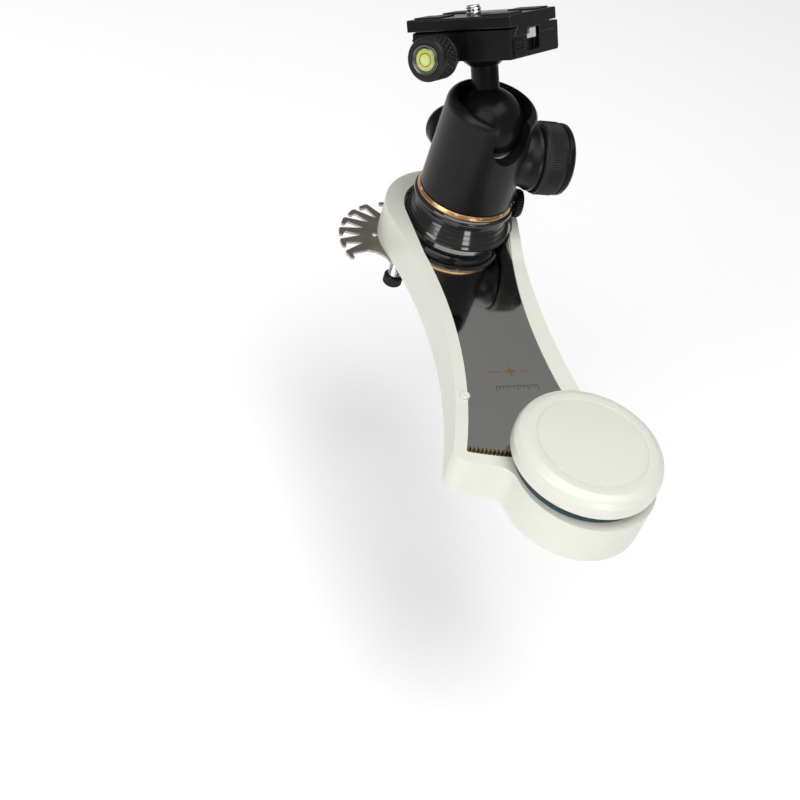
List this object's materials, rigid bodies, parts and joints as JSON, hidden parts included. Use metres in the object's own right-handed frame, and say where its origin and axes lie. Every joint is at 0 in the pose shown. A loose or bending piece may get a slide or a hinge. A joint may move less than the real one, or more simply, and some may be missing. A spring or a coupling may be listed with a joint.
{
  "type": "star tracker mount",
  "caption": "Clockwork camera tracker with toothed steel deck, winding knob, ball head with drop notch, level and quick-release plate, and a sprung comb underneath.",
  "frame": {"origin": "centre of the tripod socket's mouth on the flat underside", "axes": "+Z along the polar axis, away from the tripod; +X from the polar axis towards the winding knob; +Y completes the right-handed frame"},
  "size_m": [0.2274, 0.0922, 0.1312],
  "materials": {
    "white_coat": "satin powder coat",
    "black_anodised": "satin black anodised",
    "black_gloss": "polished black anodised",
    "mirror_deck": "mirror polished stainless",
    "steel": "machined",
    "zinc": "bright zinc plated",
    "spring_steel": "rolled sheet",
    "brass": "machined",
    "gold_scale": "copper-gold anodised, graduated",
    "rubber": "matt, knurled",
    "nylon": "natural",
    "dark_plastic": "dark teal",
    "vial": "clear green",
    "red_mark": "printed ring"
  },
  "bodies": {
    "tracker_body": {"housing": "white_coat", "base_cover": "black_anodised", "case_screws": "steel", "bed_plate": "steel", "polar_bearing": "brass", "tripod_socket": "zinc", "accessory_socket": "zinc", "thumb_insert": "brass", "stop_peg": "white_coat", "dial_ring": "dark_plastic", "timer_case": "steel", "timer_plate": "brass"},
    "winder": {"winding_cap": "white_coat", "winder_shaft": "steel", "drive_pinion": "brass", "mainspring_barrel": "brass", "mainspring": "steel"},
    "third_wheel": {"third_wheel": "brass"},
    "escape_wheel": {"escape_wheel": "brass"},
    "polar_drive": {"sector_deck": "mirror_deck", "polar_shaft": "steel", "shaft_screws": "steel", "thrust_washer": "brass", "retaining_nut": "steel", "head_base": "black_gloss", "pan_scale": "gold_scale", "pan_ring": "steel"},
    "pan_lock": {"pan_knob": "black_anodised", "pan_screw": "steel"},
    "ball_head": {"head_housing": "black_anodised", "ball_cup": "nylon", "cup_spring": "steel", "lock_pusher": "brass"},
    "ball_lock": {"lock_grip": "rubber", "lock_cap": "black_anodised", "lock_screw": "steel"},
    "friction_lock": {"friction_grip": "black_anodised", "friction_screw": "steel"},
    "ball": {"ball": "black_anodised"},
    "stem": {"stem": "black_anodised", "stem_screw": "steel"},
    "clamp": {"clamp_base": "black_anodised", "jaw_guides": "steel"},
    "jaw": {"clamp_jaw": "black_anodised"},
    "clamp_knob": {"clamp_grip": "rubber", "clamp_screw": "steel", "level_bezel": "zinc", "level_vial": "vial", "level_mark": "red_mark"},
    "safety_pin": {"safety_pin": "steel"},
    "quick_plate": {"qr_plate": "black_anodised", "qr_pads": "rubber"},
    "camera_screw": {"camera_screw": "zinc"},
    "comb": {"comb": "spring_steel"},
    "thumbscrew": {"thumb_stud": "zinc", "thumb_cap": "rubber"}
  },
  "joints": [
    {"name": "polar_turn", "type": "hinge", "parent": "tracker_body", "child": "polar_drive", "pos_m": [-0.055, 0.006, 0.0144], "axis": [0, 0, 1], "range_deg": [0, 15]},
    {"name": "winder_turn", "type": "hinge", "parent": "tracker_body", "child": "winder", "pos_m": [0.095, 0.006, 0.0144], "axis": [0, 0, 1], "range_deg": [-360, 0]},
    {"name": "third_wheel_turn", "type": "hinge", "parent": "tracker_body", "child": "third_wheel", "pos_m": [0.08828, 0.01765, 0.0144], "axis": [0, 0, 1], "range_deg": [0, 900]},
    {"name": "escape_wheel_turn", "type": "hinge", "parent": "tracker_body", "child": "escape_wheel", "pos_m": [0.08513, -0.00228, 0.0144], "axis": [0, 0, 1], "range_deg": [0, 1080]},
    {"name": "pan_turn", "type": "hinge", "parent": "polar_drive", "child": "ball_head", "pos_m": [-0.055, 0.006, 0.0144], "axis": [0, 0, 1], "continuous": true},
    {"name": "pan_lock_turn", "type": "hinge", "parent": "polar_drive", "child": "pan_lock", "pos_m": [-0.05066, 0.03062, 0.026], "axis": [0.1736, 0.9848, 0], "range_deg": [-360, 0]},
    {"name": "ball_lock_turn", "type": "hinge", "parent": "ball_head", "child": "ball_lock", "pos_m": [-0.05284, 0.03692, 0.0489], "axis": [0.0698, 0.9976, 0], "range_deg": [-360, 0]},
    {"name": "friction_turn", "type": "hinge", "parent": "ball_head", "child": "friction_lock", "pos_m": [-0.08075, 0.00238, 0.0441], "axis": [-0.9903, -0.1392, 0], "range_deg": [-360, 0]},
    {"name": "ball_sway", "type": "hinge", "parent": "ball_head", "child": "ball", "pos_m": [-0.055, 0.006, 0.0644], "axis": [0.9781, 0.2079, 0], "range_deg": [-24.2, 15.8]},
    {"name": "stem_tilt", "type": "hinge", "parent": "ball", "child": "stem", "pos_m": [-0.055, 0.006, 0.0644], "axis": [-0.2074, 0.9755, 0.0733], "range_deg": [-4.9, 122.1]},
    {"name": "clamp_turn", "type": "hinge", "parent": "stem", "child": "clamp", "pos_m": [-0.06934, 0.00101, 0.09027], "axis": [-0.4779, -0.1664, 0.8625], "continuous": true},
    {"name": "clamp_knob_turn", "type": "hinge", "parent": "jaw", "child": "clamp_knob", "pos_m": [-0.05523, -0.02601, 0.09253], "axis": [0.591, -0.7873, 0.1756], "range_deg": [0, 720]},
    {"name": "jaw_slide", "type": "slide", "parent": "clamp", "child": "jaw", "axis": [0.591, -0.7873, 0.1756], "range_m": [0, 0.0026]},
    {"name": "safety_pin_press", "type": "slide", "parent": "clamp", "child": "safety_pin", "axis": [0.4779, 0.1664, -0.8625], "range_m": [0, 0.0022], "stiffness_N_per_m": 400, "springref_m": -0.001},
    {"name": "plate_slide", "type": "slide", "parent": "clamp", "child": "quick_plate", "axis": [-0.6499, -0.5937, -0.4746], "range_m": [0, 0.05]},
    {"name": "camera_screw_turn", "type": "hinge", "parent": "quick_plate", "child": "camera_screw", "pos_m": [-0.07639, -0.00274, 0.09724], "axis": [-0.4779, -0.1664, 0.8625], "continuous": true},
    {"name": "comb_swing", "type": "hinge", "parent": "tracker_body", "child": "comb", "pos_m": [-0.044, -0.0214, 0], "axis": [0, 0, 1], "range_deg": [-20, 20]},
    {"name": "thumbscrew_turn", "type": "hinge", "parent": "tracker_body", "child": "thumbscrew", "pos_m": [-0.044, -0.0214, 0], "axis": [0, 0, 1], "range_deg": [-360, 0]}
  ],
  "couplings": [
    {"joint": "winder_turn", "follows": "polar_turn", "ratio": -24},
    {"joint": "third_wheel_turn", "follows": "polar_turn", "ratio": 60},
    {"joint": "escape_wheel_turn", "follows": "polar_turn", "ratio": 70.588},
    {"joint": "clamp_knob_turn", "follows": "jaw_slide", "rad_per_m": 4828.4}
  ]
}
